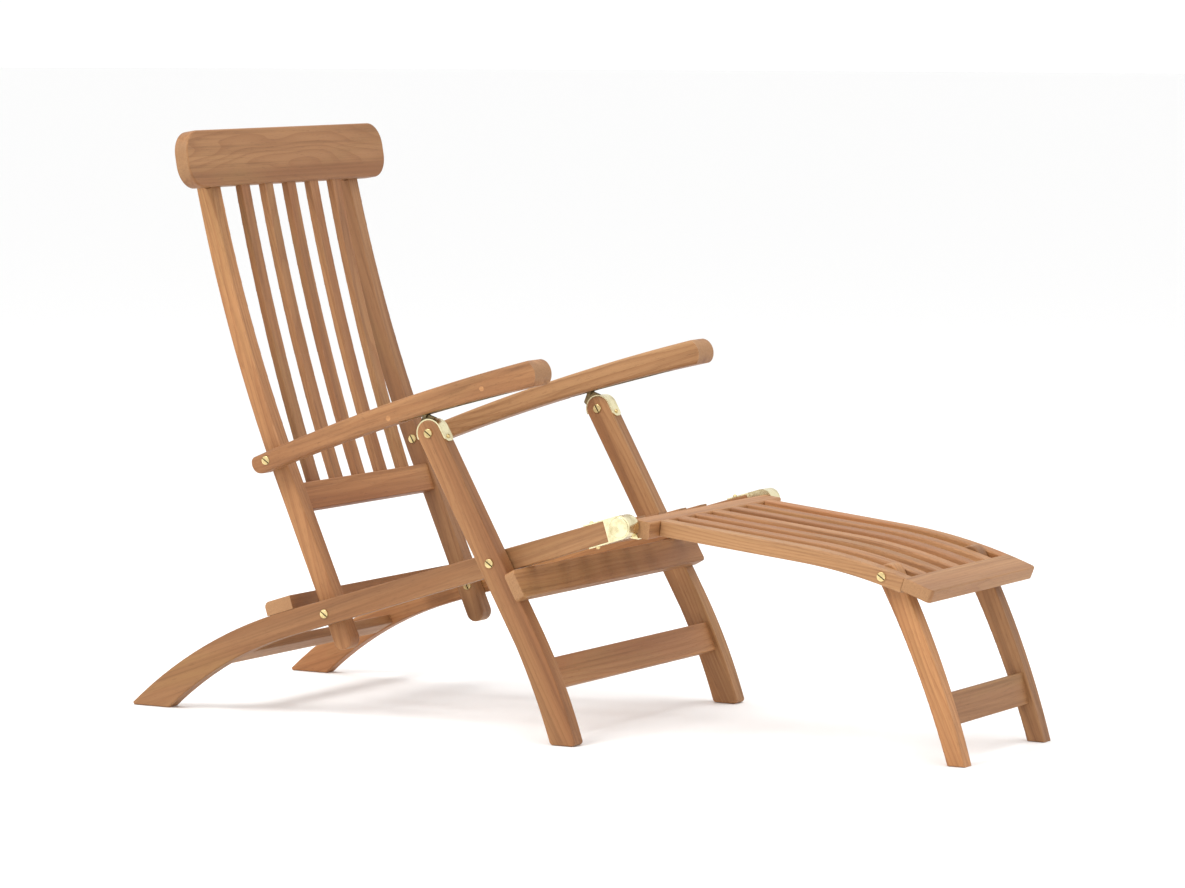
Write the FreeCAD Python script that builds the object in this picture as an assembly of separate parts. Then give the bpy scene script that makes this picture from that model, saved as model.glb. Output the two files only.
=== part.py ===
import FreeCAD, Part
import math
import os
from FreeCAD import Vector

# Folding teak deck chair with a footrest, in millimetres.
# +X points from the back towards the footrest, +Y to the sitter's left, +Z up.
# The origin is on the floor, under the middle of the chair.

# ---- driving dimensions ------------------------------------------------------

# Pivots in the side view, as (x, z)
NOSE = (179.0, 340.0)             # footrest hinge, at the front end of the side rails
LEG_PIVOT = (-32.5, 275.0)        # front leg on side rail
LEG_TOP = (-143.0, 472.0)         # cross bolt in the rounded top of the front leg
BACK_PIVOT = (-354.0, 172.0)      # back stile on side rail
ARM_PIVOT = (-460.5, 411.5)       # arm on back stile
FOOT_PIVOT = (593.5, 283.5)       # footrest leg on footrest rail

# Layers across the chair, as distances from the middle plane
STILE_IN, STILE_OUT = 193.0, 223.0
RAIL_IN, RAIL_OUT = 225.0, 252.5
LEG_IN, LEG_OUT = 256.0, 285.0
FOOT_LEG_IN, FOOT_LEG_OUT = 132.6, 160.0
FOOT_RAIL_IN, FOOT_RAIL_OUT = 161.0, 188.0
FOOT_CROSS_END = 221.0
STRETCHER_END = 297.5
REAR_BOARD_END = 251.0
REAR_BOARD_THICK = 22.0
ARM_REAR = (225.0, 257.0)         # inner and outer face at the arm's rear end
ARM_FRONT = (243.0, 296.0)        # inner and outer face at the arm's front end
ARM_REAR_X, ARM_FRONT_X = -480.0, 86.0
ARM_TOP = ((-478.0, 418.5), (-200.0, 522.5), (52.0, 597.0))
ARM_UNDER = ((-452.0, 396.5), (-200.0, 486.5), (66.0, 558.0))
ARM_ROUND = 6.0

# Side rail
RAIL_TOP_BEND = (-430.0, 171.0)   # where the straight top edge turns into the rear sweep
RAIL_TOP_SWEEP = 757.5
RAIL_UNDER_BEND = (-420.0, 132.14)
RAIL_UNDER_SWEEP = 637.5
HEEL = (-651.5, 0.0)              # rear lower corner of the rail, on the floor
RAIL_TOP_ANGLE = 17.0
RAIL_UNDER_ANGLE = 17.65
NOSE_RADIUS = 16.5
REAR_TIP_X = -721.5

# Front leg
LEG_HALF = 20.5
LEG_BEND = 357.0                  # distance from the leg top to where the lower end curves
LEG_LEAN = math.atan2(LEG_PIVOT[0] - LEG_TOP[0], LEG_TOP[1] - LEG_PIVOT[1])

# Footrest
FOOT_START = (230.0, 345.5)       # a point on the straight part of its top
FOOT_SLOPE = 6.1                  # degrees below level
FOOT_BEND_X = 455.0
FOOT_SWEEP = 880.0
FOOT_RAIL_DEPTH = 24.5
FOOT_BOARD_X = 632.0
FOOT_FRONT_X = 680.0
FOOT_CROSS_X = (183.5, 215.5)
FOOT_LEG_FRONT = 14.5             # from the centre line to the front edge
FOOT_LEG_REAR = (20.5, 17.5, 13.5)   # to the rear edge, at the top, middle and floor
FOOT_LEG_LINE = (FOOT_PIVOT, (663.5, 130.0), (706.4, 0.0))

# Slats
SLAT_COUNT = 5
SLAT_WIDTH = 27.0
BACK_SLAT_THICK = 12.0
BACK_SLAT_BOW = 9.0
SEAT_SLAT_THICK = 16.0
FOOT_SLAT_THICK = 15.0

# Fittings
BOLT_RADIUS = 4.0
BOLT_HOLE = 4.05
HEAD_RADIUS = 7.2
HEAD_THICK = 2.4
SLOT_WIDTH, SLOT_DEPTH = 2.0, 1.8
PIN_RADIUS = 3.5
PIN_HOLE = 3.55
REST_PIN_RADIUS = 4.0
REST_PIN_LENGTH = 14.0
RACK_X = (-206.0, -12.0)
RACK_SLOPE = 15.2
RACK_WALL = 2.0
RACK_WIDTH = 20.0
RACK_MIDDLE = 263.0               # distance from the middle plane to the rack's centre line
RACK_TEETH = 6
NOTCH_LENGTH = 9.0
CAP_THICK = 2.0
CHEEK_IN, CHEEK_OUT = 1.0, 1.5     # thickness of the nose cap's inner and outer cheek

TENON = 8.0
SOFT = 2.5                        # radius that softens the timber's long edges
BIG = 2000.0

ACROSS = Vector(0, 1, 0)
ORIGIN = Vector(0, 0, 0)


# ---- geometry helpers --------------------------------------------------------

def at(point, y=0.0):
    return Vector(point[0], y, point[1])


def unit(angle_deg):
    """Direction in the side view, measured up from +X."""
    turn = math.radians(angle_deg)
    return (math.cos(turn), math.sin(turn))


def shift(point, direction, distance):
    return (point[0] + direction[0] * distance, point[1] + direction[1] * distance)


def between(a, b, share):
    return (a[0] + (b[0] - a[0]) * share, a[1] + (b[1] - a[1]) * share)


def outline(start, *legs):
    """Face in the side view. Each leg is a point, or a (middle, end) pair for an arc."""
    edges = []
    here = start
    for leg in legs:
        if isinstance(leg[0], tuple):
            middle, end = leg
            edges.append(Part.Arc(at(here), at(middle), at(end)).toShape())
        else:
            end = leg
            edges.append(Part.makeLine(at(here), at(end)))
        here = end
    if (at(here) - at(start)).Length > 1e-6:
        edges.append(Part.makeLine(at(here), at(start)))
    return Part.Face(Part.Wire(edges))


def extrude(face, y_low, y_high):
    """The side-view face as a solid between two distances across the chair."""
    placed = face.copy()
    placed.translate(Vector(0, y_low, 0))
    return placed.extrude(Vector(0, y_high - y_low, 0))


def soften(solid, radius=SOFT):
    """Round the edges around both flat sides of a piece cut from a board."""
    low, high = solid.BoundBox.YMin, solid.BoundBox.YMax
    rims = []
    for edge in solid.Edges:
        box = edge.BoundBox
        flat = box.YMax - box.YMin < 1e-6
        if flat and (abs(box.YMin - low) < 1e-6 or abs(box.YMin - high) < 1e-6):
            rims.append(edge)
    return solid.makeFillet(radius, rims)


def soften_along(solid, radius=SOFT):
    """Round the edges of a piece that run across the chair."""
    runs = [edge for edge in solid.Edges
            if edge.BoundBox.YLength > 20.0 and edge.BoundBox.XLength < 1e-6]
    return solid.makeFillet(radius, runs)


def mirrored(solid):
    return solid.mirror(ORIGIN, ACROSS)


def rod(point, radius, y_low, y_high):
    return Part.makeCylinder(radius, y_high - y_low, at(point, y_low), ACROSS)


def ring(point, inner, outer, y_low, y_high):
    return rod(point, outer, y_low, y_high).cut(rod(point, inner, y_low, y_high))


def above_floor(solid):
    half = Part.makeBox(BIG, BIG, BIG, Vector(-BIG / 2, -BIG / 2, 0))
    return solid.common(half)


def plank(corner, angle_deg, length, thick, y_low, y_high):
    """Board section: from a lower corner, length along the angle, thick to its left."""
    along = unit(angle_deg)
    left = unit(angle_deg + 90)
    second = shift(corner, along, length)
    face = outline(corner, second, shift(second, left, thick), shift(corner, left, thick))
    return extrude(face, y_low, y_high)


def circle_centre(a, b, c):
    circle = Part.Arc(at(a), at(b), at(c)).toShape().Curve
    return (circle.Center.x, circle.Center.z), circle.Radius


def slat_places(inner_face, width=SLAT_WIDTH):
    """Lower and upper y of evenly spaced slats between two side pieces."""
    gap = (2 * inner_face - SLAT_COUNT * width) / (SLAT_COUNT + 1)
    return [(-inner_face + gap + i * (width + gap), -inner_face + (i + 1) * (width + gap))
            for i in range(SLAT_COUNT)]


def export(name, *solids):
    shape = solids[0] if len(solids) == 1 else Part.makeCompound(list(solids))
    shape.exportStep("parts/" + name + ".step")


def export_pair(name, left):
    export(name + "_left", left)
    export(name + "_right", mirrored(left))


# ---- fasteners ---------------------------------------------------------------

def slotted_head(point, y, outward, turn_deg=35.0):
    """Low round head with a screwdriver slot, on the face at y."""
    base = y if outward > 0 else y - HEAD_THICK
    head = rod(point, HEAD_RADIUS, base, base + HEAD_THICK)
    outer = base + HEAD_THICK if outward > 0 else base
    rim = [e for e in head.Edges if abs(e.BoundBox.YMin - outer) < 1e-6 and e.BoundBox.YLength < 1e-6]
    head = head.makeFillet(1.0, rim)
    slot = Part.makeBox(20, 2 * SLOT_DEPTH, SLOT_WIDTH, Vector(-10, -SLOT_DEPTH, -SLOT_WIDTH / 2))
    slot.rotate(ORIGIN, ACROSS, turn_deg)
    slot.translate(at(point, outer))
    return head.cut(slot)


def through_bolt(point, y_in, y_out):
    """Bolt from the outer face and its slotted nut on the inner face."""
    bolt = slotted_head(point, y_out, 1).fuse(rod(point, BOLT_RADIUS, y_in, y_out)).removeSplitter()
    nut = slotted_head(point, y_in, -1, 60.0)
    return [bolt, nut]


# ---- seat frame --------------------------------------------------------------

def rail_top(x):
    """Height of the side rail's top edge."""
    bend_x, bend_z = RAIL_TOP_BEND
    if x > bend_x:
        return bend_z + (x - bend_x) * math.tan(math.radians(RAIL_TOP_ANGLE))
    centre = shift(RAIL_TOP_BEND, unit(RAIL_TOP_ANGLE - 90), RAIL_TOP_SWEEP)
    return centre[1] + math.sqrt(RAIL_TOP_SWEEP ** 2 - (x - centre[0]) ** 2)


def rail_under(x):
    """Height of the side rail's lower edge in the rear sweep."""
    centre = shift(RAIL_UNDER_BEND, unit(RAIL_UNDER_ANGLE - 90), RAIL_UNDER_SWEEP)
    return centre[1] + math.sqrt(RAIL_UNDER_SWEEP ** 2 - (x - centre[0]) ** 2)


def rail_face():
    nose_top = shift(NOSE, unit(RAIL_TOP_ANGLE + 90), NOSE_RADIUS)
    nose_tip = shift(NOSE, unit(RAIL_TOP_ANGLE), NOSE_RADIUS)
    nose_under = shift(NOSE, unit(RAIL_UNDER_ANGLE - 90), NOSE_RADIUS)
    tip = (REAR_TIP_X, rail_top(REAR_TIP_X))
    toe = (REAR_TIP_X + 2.0, 0.0)
    return outline(
        nose_top,
        RAIL_TOP_BEND,
        ((-570.0, rail_top(-570.0)), tip),
        toe,
        HEEL,
        ((-510.0, rail_under(-510.0)), RAIL_UNDER_BEND),
        nose_under,
        (nose_tip, nose_top),
    )


def side_rail():
    rail = soften(extrude(rail_face(), RAIL_IN, RAIL_OUT))
    for pivot in (LEG_PIVOT, BACK_PIVOT):
        rail = rail.cut(rod(pivot, BOLT_HOLE, RAIL_IN, RAIL_OUT))
    return rail.cut(rod(NOSE, PIN_HOLE, RAIL_IN, RAIL_IN + 20.0))


def nose_profile(grow, reach):
    """The rail's front end in the side view, enlarged all round and cut off behind the nose."""
    radius = NOSE_RADIUS + grow
    top = shift(NOSE, unit(RAIL_TOP_ANGLE + 90), radius)
    tip = shift(NOSE, unit(RAIL_TOP_ANGLE), radius)
    under = shift(NOSE, unit(RAIL_UNDER_ANGLE - 90), radius)
    rear_top = shift(top, unit(RAIL_TOP_ANGLE), -reach)
    rear_under = shift(under, unit(RAIL_UNDER_ANGLE), -reach)
    return outline(top, rear_top, rear_under, under, (tip, top))


def nose_cap():
    """Brass hood over the rail's rounded end, with a strap along its top and underside."""
    strap = extrude(nose_profile(CAP_THICK, 62.0), RAIL_IN + 1.5, RAIL_OUT - 1.5)
    hood = extrude(nose_profile(CAP_THICK, 24.0), RAIL_IN - CHEEK_IN, RAIL_OUT + CHEEK_OUT)
    cap = strap.fuse(hood).cut(extrude(nose_profile(0.0, 90.0), RAIL_IN, RAIL_OUT))
    boss = rod(NOSE, 16.0, RAIL_OUT + CHEEK_OUT - 0.5, RAIL_OUT + CHEEK_OUT + 1.0)
    crown = [e for e in boss.Edges if e.BoundBox.YMin > RAIL_OUT + CHEEK_OUT + 0.9]
    boss = boss.makeFillet(0.9, crown)
    cap = cap.fuse(boss).removeSplitter()
    return cap.cut(rod(NOSE, PIN_HOLE, RAIL_IN - 5, RAIL_IN + 0.5))


def strap_screws():
    """Round-headed screws through the ends of each nose cap's straps."""
    screws = []
    back = shift(NOSE, unit(RAIL_TOP_ANGLE), -53.0)
    taper = 53.0 * math.tan(math.radians(RAIL_UNDER_ANGLE - RAIL_TOP_ANGLE))
    for angle, extra in ((RAIL_TOP_ANGLE + 90, 0.0), (RAIL_UNDER_ANGLE - 90, taper)):
        out = unit(angle)
        reach = NOSE_RADIUS + CAP_THICK + extra + 0.05
        seat = shift(back, out, reach)
        head = Part.makeSphere(3.6, at(seat, 0), Vector(out[0], 0, out[1]), 0, 90, 360)
        head.translate(Vector(0, (RAIL_IN + RAIL_OUT) / 2, 0))
        screws.append(head)
    return screws


def seat_slat(y_low, y_high):
    """Lengthwise slat, just under the top of the side rails."""
    front_x, rear_x = 118.0, -462.0
    drop = 0.15
    lower = drop + SEAT_SLAT_THICK
    mid_x = (RAIL_TOP_BEND[0] + rear_x) / 2
    face = outline(
        (front_x, rail_top(front_x) - drop),
        (RAIL_TOP_BEND[0], RAIL_TOP_BEND[1] - drop),
        ((mid_x, rail_top(mid_x) - drop), (rear_x, rail_top(rear_x) - drop)),
        (rear_x, rail_top(rear_x) - lower),
        ((mid_x, rail_top(mid_x) - lower), (RAIL_TOP_BEND[0], RAIL_TOP_BEND[1] - lower)),
        (front_x, rail_top(front_x) - lower),
    )
    return soften(extrude(face, y_low, y_high))


def rear_seat_rail():
    """Board laid across the top of both side rails, behind the back."""
    rear, front = (-462.0, rail_top(-462.0) + 0.5), (-414.0, rail_top(-414.0) + 0.5)
    angle = math.degrees(math.atan2(front[1] - rear[1], front[0] - rear[0]))
    length = math.hypot(front[0] - rear[0], front[1] - rear[1])
    board = plank(rear, angle, length, REAR_BOARD_THICK, -REAR_BOARD_END, REAR_BOARD_END)
    top_rear = shift(rear, unit(angle + 90), REAR_BOARD_THICK)
    long_edges = [e for e in board.Edges if e.BoundBox.YLength > 20.0]
    rounded = [e for e in long_edges
               if math.hypot(e.BoundBox.XMin - top_rear[0], e.BoundBox.ZMin - top_rear[1]) < 1.0]
    return board.makeFillet(9.0, rounded)


def seat_board(corner, angle, length, thick):
    """Cross board let into both side rails."""
    body = plank(corner, angle, length, thick, -RAIL_IN, RAIL_IN)
    body = soften_along(body, 2.0)
    inset = 4.0
    tongue_corner = shift(shift(corner, unit(angle), inset), unit(angle + 90), inset)
    tongue = plank(tongue_corner, angle, length - 2 * inset, thick - 2 * inset,
                   -RAIL_IN - TENON, RAIL_IN + TENON)
    return body.fuse(tongue).removeSplitter()


# ---- front legs --------------------------------------------------------------

LEG_DOWN = (math.sin(LEG_LEAN), -math.cos(LEG_LEAN))
LEG_AHEAD = (math.cos(LEG_LEAN), math.sin(LEG_LEAN))


def leg_face():
    front_top = shift(LEG_TOP, LEG_AHEAD, LEG_HALF)
    rear_top = shift(LEG_TOP, LEG_AHEAD, -LEG_HALF)
    crown = shift(LEG_TOP, LEG_DOWN, -LEG_HALF)
    front_bend = shift(front_top, LEG_DOWN, LEG_BEND)
    rear_bend = shift(rear_top, LEG_DOWN, LEG_BEND)
    return outline(
        front_top,
        front_bend,
        ((92.0, 82.0), (124.0, -8.0)),
        (79.0, -8.0),
        ((47.5, 78.0), rear_bend),
        rear_top,
        (crown, front_top),
    )


def front_leg():
    leg = above_floor(extrude(leg_face(), LEG_IN, LEG_OUT))
    foot = [e for e in leg.Edges
            if e.BoundBox.YLength > 20.0 and e.BoundBox.ZMax < 1.0]
    leg = soften(leg.makeFillet(6.0, foot))
    leg = leg.cut(rod(LEG_PIVOT, BOLT_HOLE, LEG_IN, LEG_OUT))
    leg = leg.cut(rod(LEG_TOP, BOLT_HOLE, LEG_IN, LEG_OUT))
    return leg


LEG_MIDDLE = (LEG_IN + LEG_OUT) / 2
REST_PIN = (-160.0, 498.0)        # cross pin that the arm's rack rests on


def leg_cap():
    """Brass strap over the leg top, carried down the front to a rounded tongue."""
    ends = (LEG_IN + 2.0, LEG_OUT - 2.0)
    outer = LEG_HALF + CAP_THICK
    tongue = 25.0
    front_in = shift(LEG_TOP, LEG_AHEAD, LEG_HALF)
    front_out = shift(LEG_TOP, LEG_AHEAD, outer)
    rear_in = shift(LEG_TOP, LEG_AHEAD, -LEG_HALF)
    rear_out = shift(LEG_TOP, LEG_AHEAD, -outer)
    face = outline(
        shift(front_in, LEG_DOWN, tongue),
        front_in,
        (shift(LEG_TOP, LEG_DOWN, -LEG_HALF), rear_in),
        rear_out,
        (shift(LEG_TOP, LEG_DOWN, -outer), front_out),
        shift(front_out, LEG_DOWN, tongue),
    )
    strap = extrude(face, *ends)
    tip = [e for e in strap.Edges
           if e.BoundBox.YLength < 1e-6 and e.Length < CAP_THICK + 0.1
           and e.BoundBox.ZMax < LEG_TOP[1]]
    tip = [e for e in tip if e.BoundBox.XMin > LEG_TOP[0]]
    return strap.makeFillet(9.0, tip)


def rest_bracket():
    """Upright plate let into the leg top, with the cross pin that carries the arm."""
    half = 2.5
    foot_low = shift(LEG_TOP, LEG_DOWN, 14.0)
    face = outline(
        shift(foot_low, LEG_AHEAD, -9.0),
        shift(foot_low, LEG_AHEAD, 9.0),
        shift(shift(LEG_TOP, LEG_AHEAD, 9.0), LEG_DOWN, -17.0),
        (-141.5, 495.0),
        (-149.5, 497.5),
        (-157.5, 500.0),
        (-163.5, 500.5),
        (-171.0, 481.0),
    )
    plate = extrude(face, RACK_MIDDLE - half, RACK_MIDDLE + half)
    plate = plate.cut(rod(LEG_TOP, BOLT_HOLE, LEG_IN, LEG_OUT))
    pin = rod(REST_PIN, REST_PIN_RADIUS, RACK_MIDDLE - REST_PIN_LENGTH / 2,
              RACK_MIDDLE + REST_PIN_LENGTH / 2)
    return plate.fuse(pin).removeSplitter()


def tongue_screw():
    """Small round screw at the end of the leg strap's tongue."""
    spot = shift(shift(LEG_TOP, LEG_AHEAD, LEG_HALF + CAP_THICK), LEG_DOWN, 17.0)
    outward = Vector(LEG_AHEAD[0], 0, LEG_AHEAD[1])
    return Part.makeSphere(3.4, at(spot, LEG_MIDDLE), outward, 0, 90, 360)


def upper_stretcher():
    """Board across the front of both legs; the side rails rest on its top edge."""
    front_top = shift(LEG_TOP, LEG_AHEAD, LEG_HALF)
    corner = shift(front_top, LEG_DOWN, 254.5)
    thick, depth, bevel = 19.0, 47.0, 7.0
    along = math.degrees(math.atan2(LEG_AHEAD[1], LEG_AHEAD[0]))
    board = plank(shift(corner, LEG_DOWN, depth), along, thick, depth,
                  -STRETCHER_END, STRETCHER_END)
    ends = [e for e in board.Edges
            if e.BoundBox.YLength < 1e-6 and abs(e.Length - thick) < 0.01]
    board = board.makeFillet(bevel, ends)
    return soften_along(board, 2.0)


def between_legs(front_top, front_under, thick, reach):
    """Cross rail between two legs, with a tongue into each."""
    drop = math.degrees(math.atan2(front_top[1] - front_under[1], front_top[0] - front_under[0]))
    height = math.hypot(front_top[0] - front_under[0], front_top[1] - front_under[1])
    body = soften_along(plank(front_under, drop, height, thick, -reach, reach), 2.0)
    inset = 4.0
    corner = shift(shift(front_under, unit(drop), inset), unit(drop + 90), inset)
    tongue = plank(corner, drop, height - 2 * inset, thick - 2 * inset,
                   -reach - TENON, reach + TENON)
    return body.fuse(tongue).removeSplitter()


# ---- back --------------------------------------------------------------------

STILE_FOOT = (-340.0, 128.0)
STILE_FOOT_RADIUS = 16.0
STILE_LEAN = 113.3                # degrees from +X of the stile's straight lower part

HEAD_FRONT_UNDER = (-573.5, 844.0)
HEAD_LEAN = 99.8                  # degrees from +X of the headrest's front face
HEAD_HEIGHT = 91.3
HEAD_THICK_BOARD = 25.0
HEAD_HALF_LENGTH = 297.0
HEAD_CORNER = 38.0

LAP_FOOT, LAP_TOP = (-618.5, 855.0), (-632.0, 914.0)   # rear face of the stile behind the headrest

SLAT_UNDER, SLAT_TOP = (-441.5, 372.0), (-575.5, 843.0)
BOTTOM_RAIL_FRONT = ((-433.5, 372.0), (-417.5, 330.0))


def back_stile():
    ahead = unit(STILE_LEAN - 90)
    foot_front = shift(STILE_FOOT, ahead, STILE_FOOT_RADIUS)
    foot_rear = shift(STILE_FOOT, ahead, -STILE_FOOT_RADIUS)
    foot_tip = shift(STILE_FOOT, unit(STILE_LEAN), -STILE_FOOT_RADIUS)
    head_back = shift(HEAD_FRONT_UNDER, unit(HEAD_LEAN + 90), HEAD_THICK_BOARD)
    shoulder = shift(HEAD_FRONT_UNDER, unit(HEAD_LEAN + 90), 13.6)
    lap_top = shift(head_back, unit(HEAD_LEAN), 76.0)
    face = outline(
        foot_front,
        (-438.0, 392.0),
        ((-517.0, 597.0), shoulder),
        head_back,
        lap_top,
        LAP_TOP,
        LAP_FOOT,
        ((-548.0, 598.0), (-471.5, 393.0)),
        foot_rear,
        (foot_tip, foot_front),
    )
    stile = soften(extrude(face, STILE_IN, STILE_OUT))
    stile = stile.cut(rod(BACK_PIVOT, BOLT_HOLE, STILE_IN, STILE_OUT))
    return stile.cut(rod(ARM_PIVOT, BOLT_HOLE, STILE_IN, STILE_OUT))


def back_slat(y_low, y_high):
    """Slat bent to the same gentle curve as the stiles."""
    lean = math.degrees(math.atan2(SLAT_TOP[1] - SLAT_UNDER[1], SLAT_TOP[0] - SLAT_UNDER[0]))
    rearward = unit(lean + 90)
    lower = shift(SLAT_UNDER, unit(lean), -10.0)
    upper = shift(SLAT_TOP, unit(lean), 10.0)
    middle = shift(between(lower, upper, 0.5), rearward, BACK_SLAT_BOW)
    face = outline(
        lower,
        (middle, upper),
        shift(upper, rearward, BACK_SLAT_THICK),
        (shift(middle, rearward, BACK_SLAT_THICK), shift(lower, rearward, BACK_SLAT_THICK)),
    )
    return soften(extrude(face, y_low, y_high), 1.5)


def bottom_rail():
    front_top, front_under = BOTTOM_RAIL_FRONT
    return between_legs(front_top, front_under, 23.0, STILE_IN)


def headrest():
    """Board with rounded ends; its outline is drawn upright and then leaned back."""
    half, height, corner = HEAD_HALF_LENGTH, HEAD_HEIGHT, HEAD_CORNER
    board = Part.makeBox(HEAD_THICK_BOARD, 2 * half, height, Vector(-HEAD_THICK_BOARD, -half, 0))
    corners = [e for e in board.Edges if e.BoundBox.XLength > 20.0]
    board = board.makeFillet(corner, corners)
    rims = [e for e in board.Edges if e.BoundBox.XLength < 1e-6]
    board = board.makeFillet(3.5, rims)
    board.rotate(ORIGIN, ACROSS, 90.0 - HEAD_LEAN)
    board.translate(at(HEAD_FRONT_UNDER))
    return board


def headrest_screws():
    """Two round-headed screws through the back of each stile into the headrest."""
    screws = []
    run = math.degrees(math.atan2(LAP_TOP[1] - LAP_FOOT[1], LAP_TOP[0] - LAP_FOOT[0]))
    rear_out = unit(run + 90)
    for share in (0.25, 0.75):
        spot = between(LAP_FOOT, LAP_TOP, share)
        for y in (-208.0, 208.0):
            outward = Vector(rear_out[0], 0, rear_out[1])
            screws.append(Part.makeSphere(4.0, at(spot, y), outward, 0, 90, 360))
    return screws


# ---- arms --------------------------------------------------------------------

def circle_height(a, b, c, x):
    """Height at x of the upper side of the circle through three points."""
    centre, radius = circle_centre(a, b, c)
    return centre[1] + math.sqrt(radius ** 2 - (x - centre[0]) ** 2)


def arm_side(rear_y, front_y, x):
    """Distance from the middle plane of a straight side of the arm."""
    return rear_y + (front_y - rear_y) * (x - ARM_REAR_X) / (ARM_FRONT_X - ARM_REAR_X)


def arm_section(x):
    """Rounded rectangle across the arm."""
    low = circle_height(*ARM_UNDER, x)
    high = circle_height(*ARM_TOP, x)
    inner = arm_side(ARM_REAR[0], ARM_FRONT[0], x)
    outer = arm_side(ARM_REAR[1], ARM_FRONT[1], x)
    edges = []
    corners = [(inner, low, 1, 1), (outer, low, -1, 1), (outer, high, -1, -1), (inner, high, 1, -1)]
    rounds = []
    for i, (y, z, to_y, to_z) in enumerate(corners):
        centre = Vector(x, y + to_y * ARM_ROUND, z + to_z * ARM_ROUND)
        out_y, out_z = Vector(0, -to_y * ARM_ROUND, 0), Vector(0, 0, -to_z * ARM_ROUND)
        first, last = (out_y, out_z) if i % 2 == 0 else (out_z, out_y)
        rounds.append((centre + first, centre + (first + last) * math.sqrt(0.5), centre + last))
    for i, (start, middle, end) in enumerate(rounds):
        edges.append(Part.Arc(start, middle, end).toShape())
        edges.append(Part.makeLine(end, rounds[(i + 1) % len(rounds)][0]))
    return Part.Wire(edges)


def arm_blank():
    """Swept, tapering board with both ends rounded in the side view."""
    stations = (-506.0, -400.0, -300.0, -200.0, -100.0, 0.0, 70.0)
    board = Part.makeLoft([arm_section(x) for x in stations], True, False)
    ends = outline(
        (-480.0, 421.5),
        (-480.0, 700.0),
        (16.0, 700.0),
        (16.0, 590.5),
        ((52.5, 573.5), (31.0, 545.0)),
        (31.0, 300.0),
        (-466.0, 300.0),
        (-466.0, 390.5),
        ((-487.5, 403.5), (-480.0, 421.5)),
    )
    return board.common(extrude(ends, ARM_REAR[0] - 10, ARM_FRONT[1] + 10))


ARM_HEAD_SEAT = ARM_REAR[1] + 0.4
RACK_ALONG = unit(RACK_SLOPE)
RACK_UP = unit(RACK_SLOPE + 90)
RACK_ROOF = shift(REST_PIN, RACK_UP, REST_PIN_RADIUS + 3.0)   # above the resting pin
RACK_FLANGE = 6.0


def rack_box(low, high, y_half, x_range=RACK_X, trim=0.0):
    """Block along the rack between two heights measured from its roof."""
    start = shift(RACK_ROOF, RACK_ALONG, (x_range[0] - RACK_ROOF[0]) / RACK_ALONG[0] + trim)
    length = (x_range[1] - x_range[0]) / RACK_ALONG[0] - 2 * trim
    corner = shift(start, RACK_UP, low)
    return plank(corner, RACK_SLOPE, length, high - low, RACK_MIDDLE - y_half, RACK_MIDDLE + y_half)


def arm_rack():
    """Brass channel under the arm; notches across its roof take the cross pin."""
    channel = rack_box(-RACK_FLANGE, RACK_WALL, RACK_WIDTH / 2, trim=0.2)
    channel = channel.cut(rack_box(-RACK_FLANGE, 0.0, RACK_WIDTH / 2 - RACK_WALL))
    pitch = (RACK_X[1] - RACK_X[0]) / RACK_TEETH
    for i in range(RACK_TEETH):
        middle = RACK_X[0] + (i + 0.5) * pitch
        notch = (middle - NOTCH_LENGTH / 2, middle + NOTCH_LENGTH / 2)
        channel = channel.cut(rack_box(-0.1, RACK_WALL / 2, RACK_WIDTH / 2 - RACK_WALL, notch))
    return channel


def plug_spots():
    """Wooden plugs on the arm's outer face, over the rack's cross screws."""
    return ((-222.0, 491.0), (-46.0, 546.0))


def arm_outer(x):
    return arm_side(ARM_REAR[1], ARM_FRONT[1], x)


def arm():
    blank = arm_blank()
    blank = blank.cut(rack_box(-40.0, RACK_WALL, RACK_WIDTH / 2))
    blank = blank.cut(rod(ARM_PIVOT, BOLT_HOLE, ARM_REAR[0] - 5, ARM_REAR[1] + 10))
    blank = blank.cut(rod(ARM_PIVOT, HEAD_RADIUS + 0.4, ARM_HEAD_SEAT - 0.2, ARM_REAR[1] + 10))
    for spot in plug_spots():
        blank = blank.cut(rod(spot, 4.0, arm_outer(spot[0]) - 8.0, arm_outer(spot[0]) + 5.0))
    return blank


def arm_plugs():
    return [rod(spot, 4.0, arm_outer(spot[0]) - 8.0, arm_outer(spot[0]) + 0.4) for spot in plug_spots()]


# ---- footrest ----------------------------------------------------------------

FOOT_CENTRE = shift(
    (FOOT_BEND_X, FOOT_START[1] - (FOOT_BEND_X - FOOT_START[0]) * math.tan(math.radians(FOOT_SLOPE))),
    unit(-90 - FOOT_SLOPE), FOOT_SWEEP)


def foot_point(x, drop):
    """Point of the footrest's profile, this far below its top surface."""
    if x <= FOOT_BEND_X:
        top = FOOT_START[1] - (x - FOOT_START[0]) * math.tan(math.radians(FOOT_SLOPE))
        return shift((x, top), unit(-90 - FOOT_SLOPE), drop)
    radius = FOOT_SWEEP
    swing = math.asin((x - FOOT_CENTRE[0]) / radius)
    return (FOOT_CENTRE[0] + (radius - drop) * math.sin(swing),
            FOOT_CENTRE[1] + (radius - drop) * math.cos(swing))


def foot_profile(x_rear, x_front, drop_top, drop_under):
    """Straight at the rear, then following the sweep towards the front."""
    middle = (FOOT_BEND_X + x_front) / 2
    return outline(
        foot_point(x_rear, drop_top),
        foot_point(FOOT_BEND_X, drop_top),
        (foot_point(middle, drop_top), foot_point(x_front, drop_top)),
        foot_point(x_front, drop_under),
        (foot_point(middle, drop_under), foot_point(FOOT_BEND_X, drop_under)),
        foot_point(x_rear, drop_under),
    )


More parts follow.
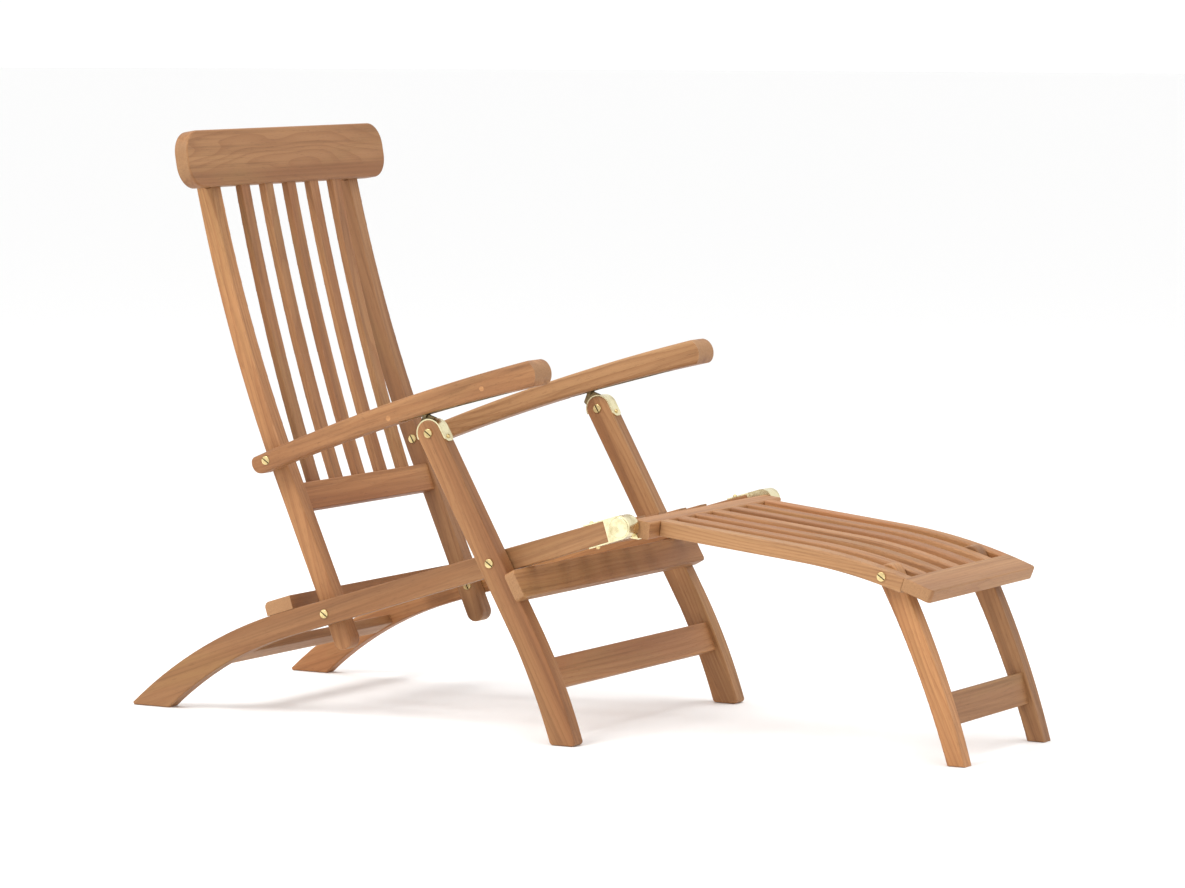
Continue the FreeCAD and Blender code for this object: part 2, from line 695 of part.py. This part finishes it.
def footrest_rail():
    face = foot_profile(FOOT_CROSS_X[1], FOOT_BOARD_X, 0.0, FOOT_RAIL_DEPTH)
    rail = soften(extrude(face, FOOT_RAIL_IN, FOOT_RAIL_OUT))
    return rail.cut(rod(FOOT_PIVOT, BOLT_HOLE, FOOT_RAIL_IN, FOOT_RAIL_OUT))


def footrest_slat(y_low, y_high):
    face = foot_profile(FOOT_CROSS_X[1] - 6.0, FOOT_BOARD_X + 6.0, 0.8, 0.8 + FOOT_SLAT_THICK)
    return soften(extrude(face, y_low, y_high))


def footrest_rear_rail():
    corner = foot_point(FOOT_CROSS_X[0], 27.0)
    length = (FOOT_CROSS_X[1] - FOOT_CROSS_X[0]) / math.cos(math.radians(FOOT_SLOPE))
    board = plank(corner, -FOOT_SLOPE, length, 27.0, -FOOT_CROSS_END, FOOT_CROSS_END)
    return soften_along(board, 3.0)


def footrest_front_board():
    middle = (FOOT_BOARD_X + FOOT_FRONT_X) / 2
    face = outline(
        foot_point(FOOT_BOARD_X, 0.0),
        (foot_point(middle, 0.0), foot_point(FOOT_FRONT_X, 0.0)),
        foot_point(FOOT_FRONT_X, 21.0),
        (foot_point(middle, 21.0), foot_point(FOOT_BOARD_X, 21.0)),
    )
    board = extrude(face, -FOOT_RAIL_OUT, FOOT_RAIL_OUT)
    corners = [e for e in board.Edges
               if e.BoundBox.YLength < 1e-6 and e.BoundBox.XMin > FOOT_FRONT_X - 10.0
               and e.Length < 22.0]
    board = board.makeFillet(8.0, corners)
    rims = [e for e in board.Edges if e.BoundBox.XMax > FOOT_BOARD_X + 10.0
            and e.BoundBox.ZLength < 18.0]
    return board.makeFillet(2.5, rims)


def footrest_hinge():
    """Brass angle under the rear rail's end, with an eye and a stub pin into the side rail's nose."""
    outer = FOOT_CROSS_END + 2.5
    eye = rod(NOSE, 9.0, FOOT_CROSS_END, outer)
    front_x, rear_x = 199.0, FOOT_CROSS_X[0] + 2.0
    leaf_rear, leaf_front = foot_point(rear_x, 27.0), foot_point(front_x, 27.0)
    under_front, under_rear = foot_point(front_x, 29.0), foot_point(rear_x, 29.0)
    cheek = extrude(outline((173.5, 334.0), (186.0, 340.0), leaf_front, under_front, under_rear),
                    FOOT_CROSS_END, outer)
    leaf = extrude(outline(leaf_rear, leaf_front, under_front, under_rear),
                   FOOT_CROSS_END - 22.0, outer)
    pin = rod(NOSE, PIN_RADIUS, FOOT_CROSS_END + 0.5, RAIL_IN + 18.0)
    return eye.fuse([cheek, leaf, pin]).removeSplitter()


# ---- footrest legs -----------------------------------------------------------

def foot_leg_point(point, offset):
    """A point of the leg's centre line moved square to it, forwards if positive."""
    centre, radius = circle_centre(*FOOT_LEG_LINE)
    away = (point[0] - centre[0], point[1] - centre[1])
    reach = math.hypot(*away)
    side = 1.0 if away[0] > 0 else -1.0
    return shift(point, (away[0] / reach, away[1] / reach), side * offset)


def footrest_leg():
    top, middle, floor = FOOT_LEG_LINE
    half = FOOT_LEG_FRONT
    rear_top, rear_middle, rear_floor = FOOT_LEG_REAR
    crown = shift(top, unit(118.0), half + 3.0)
    below = (floor[0] + 2.5, floor[1] - 9.0)
    face = outline(
        foot_leg_point(top, half),
        (foot_leg_point(middle, half), foot_leg_point(floor, half)),
        foot_leg_point(below, half),
        foot_leg_point(below, -rear_floor),
        foot_leg_point(floor, -rear_floor),
        (foot_leg_point(middle, -rear_middle), foot_leg_point(top, -rear_top)),
        (crown, foot_leg_point(top, half)),
    )
    leg = above_floor(extrude(face, FOOT_LEG_IN, FOOT_LEG_OUT))
    leg = soften(leg)
    return leg.cut(rod(FOOT_PIVOT, BOLT_HOLE, FOOT_LEG_IN, FOOT_LEG_OUT))


# ---- build -------------------------------------------------------------------

def build_seat():
    rail = side_rail()
    front_rail = seat_board((77.0, rail_top(77.0) - 32.5), RAIL_TOP_ANGLE, 42.0, 15.5)
    lower_rail = seat_board((-552.0, 74.5), 31.0, 40.0, 16.0)
    rail = rail.cut(front_rail).cut(lower_rail)
    export_pair("side_rail", rail)
    export("front_seat_rail", front_rail)
    export("lower_rear_rail", lower_rail)
    export("rear_seat_rail", rear_seat_rail())
    for i, (low, high) in enumerate(slat_places(STILE_IN)):
        export("seat_slat_%d" % (i + 1), seat_slat(low, high))
    cap = nose_cap()
    export_pair("nose_cap", cap)
    screws = strap_screws()
    export("nose_cap_screws", *(screws + [mirrored(s) for s in screws]))
    spacer = ring(LEG_PIVOT, BOLT_HOLE, 15.0, RAIL_OUT + 0.1, LEG_IN - 0.1)
    export("leg_pivot_plates", spacer, mirrored(spacer))


def build_front_legs():
    leg = front_leg()
    bracket = rest_bracket()
    lower = between_legs((61.5, 131.5), (81.0, 87.5), 19.0, LEG_IN)
    leg = leg.cut(lower).cut(bracket)
    export_pair("front_leg", leg)
    export_pair("leg_cap", leg_cap().cut(bracket))
    export_pair("arm_rest_bracket", bracket)
    export("upper_front_stretcher", upper_stretcher())
    export("lower_front_stretcher", lower)
    bolts = through_bolt(LEG_PIVOT, RAIL_IN, LEG_OUT)
    export("leg_pivot_bolts", *(bolts + [mirrored(b) for b in bolts]))
    bolts = through_bolt(LEG_TOP, LEG_IN, LEG_OUT)
    export("leg_top_bolts", *(bolts + [mirrored(b) for b in bolts]))
    screw = tongue_screw()
    export("leg_cap_screws", screw, mirrored(screw))


def build_back():
    slats = [back_slat(low, high) for low, high in slat_places(STILE_IN)]
    rail = bottom_rail()
    stile = back_stile().cut(rail)
    head = headrest()
    for slat in slats:
        rail = rail.cut(slat)
        head = head.cut(slat)
    export_pair("back_stile", stile)
    export("back_bottom_rail", rail)
    export("headrest", head)
    for i, slat in enumerate(slats):
        export("back_slat_%d" % (i + 1), slat)
    export("headrest_screws", *headrest_screws())
    bolts = through_bolt(BACK_PIVOT, STILE_IN, RAIL_OUT)
    export("back_pivot_bolts", *(bolts + [mirrored(b) for b in bolts]))
    washer = ring(BACK_PIVOT, BOLT_HOLE, 11.0, STILE_OUT + 0.1, RAIL_IN - 0.1)
    export("back_pivot_washers", washer, mirrored(washer))


def build_arms():
    export_pair("arm", arm())
    export_pair("arm_rack", arm_rack())
    plugs = arm_plugs()
    export("arm_plugs_left", *plugs)
    export("arm_plugs_right", *[mirrored(p) for p in plugs])
    bolts = through_bolt(ARM_PIVOT, STILE_IN, ARM_HEAD_SEAT)
    export("arm_bolt_left", *bolts)
    export("arm_bolt_right", *[mirrored(b) for b in bolts])


def build_footrest():
    slats = [footrest_slat(low, high) for low, high in slat_places(FOOT_RAIL_IN)]
    rear = footrest_rear_rail()
    front = footrest_front_board()
    for slat in slats:
        rear = rear.cut(slat)
        front = front.cut(slat)
    export_pair("footrest_rail", footrest_rail())
    export("footrest_rear_rail", rear)
    export("footrest_front_board", front)
    for i, slat in enumerate(slats):
        export("footrest_slat_%d" % (i + 1), slat)
    hinge = footrest_hinge()
    export_pair("footrest_hinge", hinge)


def build_footrest_legs():
    stretcher = between_legs((682.5, 107.0), (694.5, 59.0), 17.0, FOOT_LEG_IN)
    leg = footrest_leg().cut(stretcher)
    export_pair("footrest_leg", leg)
    export("footrest_leg_stretcher", stretcher)
    bolts = through_bolt(FOOT_PIVOT, FOOT_LEG_IN, FOOT_RAIL_OUT)
    export("footrest_leg_bolts", *(bolts + [mirrored(b) for b in bolts]))


build_seat()
build_front_legs()
build_back()
build_arms()
build_footrest()
build_footrest_legs()
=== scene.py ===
import math

import bpy
from mathutils import Matrix, Vector

# Folding teak deck chair: timber and brass finishes, studio light and the main camera.


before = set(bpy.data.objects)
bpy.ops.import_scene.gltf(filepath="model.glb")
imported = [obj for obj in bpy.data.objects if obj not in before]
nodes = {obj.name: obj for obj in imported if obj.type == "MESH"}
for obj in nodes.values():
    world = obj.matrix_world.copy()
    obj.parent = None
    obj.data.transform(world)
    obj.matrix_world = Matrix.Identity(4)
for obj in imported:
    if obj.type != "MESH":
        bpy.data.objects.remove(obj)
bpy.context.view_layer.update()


# ---- shader helpers ----------------------------------------------------------

# the mix node's sockets for colours
MIX_SHARE, MIX_A, MIX_B, MIX_RESULT = 0, 6, 7, 2


class Tree:
    """A material's node tree, with short ways to add and join nodes."""

    def __init__(self, name):
        self.material = bpy.data.materials.new(name)
        self.material.use_nodes = True
        self.tree = self.material.node_tree
        self.tree.nodes.clear()
        output = self.add("ShaderNodeOutputMaterial")
        self.shader = self.add("ShaderNodeBsdfPrincipled")
        self.join(self.shader.outputs["BSDF"], output.inputs["Surface"])

    def add(self, kind, **settings):
        node = self.tree.nodes.new(kind)
        for key, value in settings.items():
            setattr(node, key, value)
        return node

    def join(self, source, target):
        self.tree.links.new(source, target)

    def put(self, target, value):
        if isinstance(value, bpy.types.NodeSocket):
            self.join(value, target)
        else:
            target.default_value = value

    def maths(self, operation, a, b=0.0, clamp=False):
        node = self.add("ShaderNodeMath", operation=operation, use_clamp=clamp)
        self.put(node.inputs[0], a)
        self.put(node.inputs[1], b)
        return node.outputs[0]

    def noise(self, vector, scale, detail=3.0, rough=0.5, warp=0.0):
        node = self.add("ShaderNodeTexNoise")
        self.put(node.inputs["Vector"], vector)
        node.inputs["Scale"].default_value = scale
        node.inputs["Detail"].default_value = detail
        node.inputs["Roughness"].default_value = rough
        node.inputs["Distortion"].default_value = warp
        return node.outputs["Fac"]

    def stretch(self, vector, scale, shift=(0, 0, 0)):
        node = self.add("ShaderNodeMapping")
        self.put(node.inputs["Vector"], vector)
        node.inputs["Scale"].default_value = scale
        node.inputs["Location"].default_value = shift
        return node.outputs["Vector"]

    def span(self, value, low, high, to_low=0.0, to_high=1.0):
        node = self.add("ShaderNodeMapRange", clamp=True)
        self.put(node.inputs["Value"], value)
        node.inputs["From Min"].default_value = low
        node.inputs["From Max"].default_value = high
        node.inputs["To Min"].default_value = to_low
        node.inputs["To Max"].default_value = to_high
        return node.outputs["Result"]

    def blend(self, share, a, b):
        node = self.add("ShaderNodeMix", data_type="RGBA", blend_type="MIX")
        self.put(node.inputs[MIX_SHARE], share)
        self.put(node.inputs[MIX_A], a)
        self.put(node.inputs[MIX_B], b)
        return node.outputs[MIX_RESULT]

    def bump(self, height, strength, distance):
        node = self.add("ShaderNodeBump")
        self.put(node.inputs["Height"], height)
        node.inputs["Strength"].default_value = strength
        node.inputs["Distance"].default_value = distance
        return node.outputs["Normal"]


def scatter(text, salt):
    """A repeatable number from 0 to 1 for a name."""
    total = 17 * salt + 3
    for letter in text:
        total = (total * 131 + ord(letter)) % 65521
    return total / 65521.0


def tint(color, factor):
    return (color[0] * factor, color[1] * factor, color[2] * factor, 1.0)


# ---- timber ------------------------------------------------------------------

PALE = (0.410, 0.208, 0.086)
MIDDLE = (0.262, 0.110, 0.039)
OLIVE = (0.300, 0.162, 0.056)
DARK = (0.095, 0.034, 0.012)
END_GRAIN = (0.300, 0.158, 0.070)

RINGS_PER_METRE = 135.0
RING_WANDER = 0.075
RING_RIPPLE = 0.006
EDGE_RADIUS = 0.0035
TEAK_IOR = 1.47
TEAK_SPECULAR = 0.40
GRAIN_DEPTH = 0.0004


def timber(name, grain, tone=1.0, redness=0.0, figure=1.0):
    """Oiled teak. grain turns the piece's long direction onto X before the figure is drawn."""
    t = Tree("teak_" + name)
    coords = t.add("ShaderNodeTexCoord")
    turn = t.add("ShaderNodeMapping")
    t.join(coords.outputs["Object"], turn.inputs["Vector"])
    turn.inputs["Rotation"].default_value = grain
    turn.inputs["Location"].default_value = (
        3.0 * scatter(name, 1), 2.0 * scatter(name, 2), 2.0 * scatter(name, 3))
    along = turn.outputs["Vector"]

    # growth rings: cylinders round a far-off heart, wandering along the grain
    wander = t.noise(t.stretch(along, (1.6, 9.0, 9.0)), 1.0, 2.0, 0.45)
    ripple = t.noise(t.stretch(along, (5.0, 40.0, 40.0)), 1.0, 2.0, 0.5)
    heart = t.stretch(along, (0.0, 1.0, 1.0))
    length = t.add("ShaderNodeVectorMath", operation="LENGTH")
    t.join(heart, length.inputs[0])
    radius = t.maths("ADD", length.outputs["Value"],
                     t.maths("MULTIPLY", wander, RING_WANDER * figure))
    radius = t.maths("ADD", radius, t.maths("MULTIPLY", ripple, RING_RIPPLE))
    rings = t.maths("FRACT", t.maths("MULTIPLY", radius, RINGS_PER_METRE))
    late = t.span(rings, 0.45, 0.98)
    late = t.maths("MULTIPLY", late, t.span(rings, 1.0, 0.97))

    streak = t.noise(t.stretch(along, (2.2, 170.0, 170.0)), 1.0, 4.0, 0.6)
    broad = t.noise(t.stretch(along, (1.1, 16.0, 16.0)), 1.0, 2.0, 0.5)
    pores = t.noise(t.stretch(along, (45.0, 1500.0, 1500.0)), 1.0, 2.0, 0.6)
    fleck = t.span(pores, 0.60, 0.70)

    pale = tint((PALE[0] * (1 + redness), PALE[1], PALE[2] * (1 - redness)), tone)
    middle = tint((MIDDLE[0] * (1 + redness), MIDDLE[1], MIDDLE[2] * (1 - redness)), tone)
    dark = tint(DARK, tone)
    color = t.blend(t.span(broad, 0.34, 0.66), pale, middle)
    clouds = t.noise(t.stretch(along, (2.6, 11.0, 11.0), (4.1, 1.7, 0.6)), 1.0, 3.0, 0.55, 0.6)
    color = t.blend(t.span(clouds, 0.52, 0.74, 0.0, 0.65), color, tint(OLIVE, tone))
    color = t.blend(t.maths("MULTIPLY", late, 0.55), color, middle)
    bands = t.noise(t.stretch(along, (0.9, 48.0, 48.0), (0.3, 2.2, 5.1)), 1.0, 2.0, 0.5)
    color = t.blend(t.span(bands, 0.52, 0.74, 0.0, 0.36), color, dark)
    color = t.blend(t.span(streak, 0.48, 0.74, 0.0, 0.40), color, dark)
    color = t.blend(t.maths("MULTIPLY", fleck, 0.45), color, dark)

    # end grain shows on faces square to the grain
    facing = t.add("ShaderNodeMapping", vector_type="NORMAL")
    t.join(coords.outputs["Normal"], facing.inputs["Vector"])
    facing.inputs["Rotation"].default_value = grain
    parts = t.add("ShaderNodeSeparateXYZ")
    t.join(facing.outputs["Vector"], parts.inputs[0])
    end = t.span(t.maths("ABSOLUTE", parts.outputs["X"]), 0.72, 0.92)
    speckle = t.noise(t.stretch(along, (300.0, 900.0, 900.0)), 1.0, 2.0, 0.6)
    end_color = t.blend(t.span(speckle, 0.35, 0.7),
                        tint(END_GRAIN, tone * 1.25), tint(END_GRAIN, tone * 0.8))
    color = t.blend(t.maths("MULTIPLY", end, 0.75), color, end_color)

    # rubbed arrises are paler and smoother
    edge = t.add("ShaderNodeBevel", samples=4)
    edge.inputs["Radius"].default_value = EDGE_RADIUS
    geometry = t.add("ShaderNodeNewGeometry")
    bend = t.add("ShaderNodeVectorMath", operation="DOT_PRODUCT")
    t.join(edge.outputs["Normal"], bend.inputs[0])
    t.join(geometry.outputs["Normal"], bend.inputs[1])
    worn = t.span(bend.outputs["Value"], 0.995, 0.88)
    rub = t.noise(t.stretch(along, (14.0, 60.0, 60.0)), 1.0, 3.0, 0.6)
    worn = t.maths("MULTIPLY", worn, t.span(rub, 0.40, 0.65), True)
    color = t.blend(t.maths("MULTIPLY", worn, 0.35), color, tint(PALE, 1.18 * tone))
    t.join(color, t.shader.inputs["Base Color"])

    matt = t.maths("ADD", t.span(streak, 0.3, 0.8, 0.50, 0.62), t.maths("MULTIPLY", fleck, 0.12))
    matt = t.maths("SUBTRACT", matt, t.maths("MULTIPLY", worn, 0.08))
    t.join(matt, t.shader.inputs["Roughness"])
    t.shader.inputs["IOR"].default_value = TEAK_IOR
    t.shader.inputs["Specular IOR Level"].default_value = TEAK_SPECULAR
    relief = t.maths("SUBTRACT", t.maths("MULTIPLY", streak, 0.6), t.maths("MULTIPLY", fleck, 0.8))
    relief = t.maths("SUBTRACT", relief, t.maths("MULTIPLY", late, 0.25))
    t.join(t.bump(relief, 0.35, GRAIN_DEPTH), t.shader.inputs["Normal"])
    return t.material


def along_angle(degrees):
    """Grain that runs in the side view, at this angle up from +X."""
    return (0.0, math.radians(degrees), 0.0)


ACROSS = (0.0, 0.0, math.radians(-90.0))

GRAIN = (
    ("side_rail", along_angle(20.0)),
    ("seat_slat", along_angle(17.0)),
    ("rear_seat_rail", ACROSS),
    ("lower_rear_rail", ACROSS),
    ("front_seat_rail", ACROSS),
    ("front_leg", along_angle(-62.0)),
    ("upper_front", ACROSS),
    ("lower_front", ACROSS),
    ("back_stile", along_angle(109.0)),
    ("back_slat", along_angle(106.5)),
    ("back_bottom", ACROSS),
    ("headrest", ACROSS),
    ("arm_", along_angle(18.0)),
    ("footrest_rail", along_angle(-8.0)),
    ("footrest_slat", along_angle(-8.0)),
    ("footrest_rear", ACROSS),
    ("footrest_front", ACROSS),
    ("footrest_leg_stretcher", ACROSS),
    ("footrest_leg_", along_angle(-68.0)),
)


def grain_of(name):
    for start, turn in GRAIN:
        if name.startswith(start):
            return turn
    return along_angle(0.0)


# ---- brass -------------------------------------------------------------------

# colour of the painted shade and dirt in slots and tight corners
SLOT_SHADE_AND_GRIME = (0.045, 0.032, 0.018, 1.0)
CORNER_REACH = 0.003
DENT_DEPTH = 0.0004


def brass(name, color, rough, tarnish, dull):
    """Turned or pressed brass with handling marks and patches of tarnish."""
    t = Tree(name)
    coords = t.add("ShaderNodeTexCoord").outputs["Object"]
    patch = t.noise(t.stretch(coords, (1, 1, 1), (2.3, 0.7, 1.1)), 55.0, 4.0, 0.6)
    fine = t.noise(coords, 900.0, 3.0, 0.6)
    scratch = t.noise(t.stretch(coords, (260.0, 1800.0, 900.0)), 1.0, 2.0, 0.6)
    aged = t.span(patch, 0.46, 0.68, 0.0, dull)
    shade = t.blend(aged, tint(color, 1.0), tint(tarnish, 1.0))
    # painted shade with a little dirt: an occlusion mask darkens driver slots and tight corners
    corner = t.add("ShaderNodeAmbientOcclusion", samples=8, only_local=True)
    corner.inputs["Distance"].default_value = CORNER_REACH
    slot_shade_and_grime = t.span(corner.outputs["AO"], 0.80, 0.50, 0.0, 0.85)
    shade = t.blend(slot_shade_and_grime, shade, SLOT_SHADE_AND_GRIME)
    t.join(shade, t.shader.inputs["Base Color"])
    t.shader.inputs["Metallic"].default_value = 1.0
    gloss = t.maths("ADD", t.span(fine, 0.3, 0.7, rough - 0.05, rough + 0.07),
                    t.maths("MULTIPLY", aged, 0.28))
    t.join(gloss, t.shader.inputs["Roughness"])
    relief = t.maths("ADD", t.maths("MULTIPLY", patch, 0.5), t.maths("MULTIPLY", scratch, 0.2))
    t.join(t.bump(relief, 0.25, DENT_DEPTH), t.shader.inputs["Normal"])
    return t.material


bright_brass = brass("bright_brass", (0.82, 0.74, 0.47), 0.17, (0.40, 0.32, 0.15), 0.6)
screw_brass = brass("screw_brass", (0.72, 0.57, 0.28), 0.26, (0.32, 0.23, 0.10), 0.6)
dark_brass = brass("dark_brass", (0.25, 0.19, 0.10), 0.42, (0.06, 0.05, 0.035), 0.8)

# ---- finishes on the CAD nodes -----------------------------------------------

PLAIN_METAL = (
    ("nose_cap_screws", screw_brass),
    ("nose_cap", bright_brass),
    ("leg_cap_screws", screw_brass),
    ("leg_cap", bright_brass),
    ("leg_pivot_plates", bright_brass),
    ("leg_pivot_bolts", screw_brass),
    ("leg_top_bolts", screw_brass),
    ("back_pivot", screw_brass),
    ("arm_bolt", screw_brass),
    ("arm_rack", dark_brass),
    ("arm_rest_bracket", dark_brass),
    ("headrest_screws", screw_brass),
    ("footrest_hinge", bright_brass),
    ("footrest_leg_bolts", screw_brass),
)


# each timber piece has its own tone and redness, within these limits
TONE_LOW, TONE_SPREAD = 0.86, 0.30
RED_SPREAD, RED_MIDDLE = 0.16, 0.4
PLUG_TONE = 1.08
HEADREST_FIGURE = 2.2


def metal_of(name):
    for start, material in PLAIN_METAL:
        if name.startswith(start):
            return material
    return None


for name, thing in nodes.items():
    material = metal_of(name)
    if material is None:
        tone = TONE_LOW + TONE_SPREAD * scatter(name, 5)
        red = RED_SPREAD * (scatter(name, 6) - RED_MIDDLE)
        figure = 1.0
        if name.startswith("arm_plugs"):
            tone = PLUG_TONE
        if name.startswith("headrest"):
            figure = HEADREST_FIGURE
        material = timber(name, grain_of(name), tone, red, figure)
    thing.data.materials.clear()
    thing.data.materials.append(material)

# ---- studio ------------------------------------------------------------------

FLOOR_RADIUS = 60.0
FLOOR_DROP = 0.0005
FLOOR_COLOR = (0.95, 0.95, 0.948, 1.0)
WORLD_STRENGTH = 1.03

# name, place, target, size, power, colour
SOFTBOXES = (
    ("key", (-1.5, -3.0, 3.6), (0.0, 0.0, 0.35), (2.0, 2.0), 120.0, (1.0, 0.985, 0.96)),
    ("fill", (3.6, -2.6, 2.2), (0.1, 0.0, 0.4), (2.0, 2.0), 25.0, (0.98, 0.99, 1.0)),
    ("top", (0.3, 0.8, 4.2), (0.0, 0.0, 0.3), (2.4, 2.4), 55.0, (1.0, 1.0, 1.0)),
)


def plain(name, color, rough):
    t = Tree(name)
    t.shader.inputs["Base Color"].default_value = color
    t.shader.inputs["Roughness"].default_value = rough
    t.shader.inputs["Specular IOR Level"].default_value = 0.1
    return t.material


bpy.ops.mesh.primitive_circle_add(
    vertices=96, radius=FLOOR_RADIUS, fill_type="NGON", location=(0, 0, -FLOOR_DROP))
floor = bpy.context.object
floor.name = "floor"
floor.data.materials.append(plain("floor_paper", FLOOR_COLOR, 0.9))

world = bpy.data.worlds.new("studio")
bpy.context.scene.world = world
world.use_nodes = True
backdrop = world.node_tree.nodes["Background"]
backdrop.inputs["Color"].default_value = (1.0, 1.0, 1.0, 1.0)
backdrop.inputs["Strength"].default_value = WORLD_STRENGTH


def softbox(name, place, target, size, power, color):
    data = bpy.data.lights.new(name, "AREA")
    data.shape = "RECTANGLE"
    data.size, data.size_y = size
    data.energy = power
    data.color = color
    lamp = bpy.data.objects.new(name, data)
    lamp.location = place
    aim = Vector(target) - Vector(place)
    lamp.rotation_euler = aim.to_track_quat("-Z", "Y").to_euler()
    bpy.context.collection.objects.link(lamp)


for box in SOFTBOXES:
    softbox(*box)

# ---- camera ------------------------------------------------------------------

AZIMUTH, ELEVATION, ROLL = math.radians(29.11), math.radians(5.26), math.radians(-0.29)
CAMERA_PLACE = (3.8645, -6.957, 1.171)
SENSOR_MM = 36.0
LENS_MM = 152.66
SHIFT_UP = 0.001
FAR_CLIP = 200.0

back = Vector((math.sin(AZIMUTH) * math.cos(ELEVATION),
               -math.cos(AZIMUTH) * math.cos(ELEVATION),
               math.sin(ELEVATION)))
right = Vector((math.cos(AZIMUTH), math.sin(AZIMUTH), 0.0))
up = back.cross(right)
turned_right = math.cos(ROLL) * right - math.sin(ROLL) * up
turned_up = math.cos(ROLL) * up + math.sin(ROLL) * right

lens = bpy.data.cameras.new("main")
lens.sensor_width = SENSOR_MM
lens.lens = LENS_MM
lens.shift_y = SHIFT_UP
lens.clip_end = FAR_CLIP
camera = bpy.data.objects.new("main", lens)
bpy.context.collection.objects.link(camera)
pose = Matrix((turned_right, turned_up, back)).transposed().to_4x4()
pose.translation = Vector(CAMERA_PLACE)
camera.matrix_world = pose
bpy.context.scene.camera = camera

bpy.context.scene.view_settings.view_transform = "Standard"
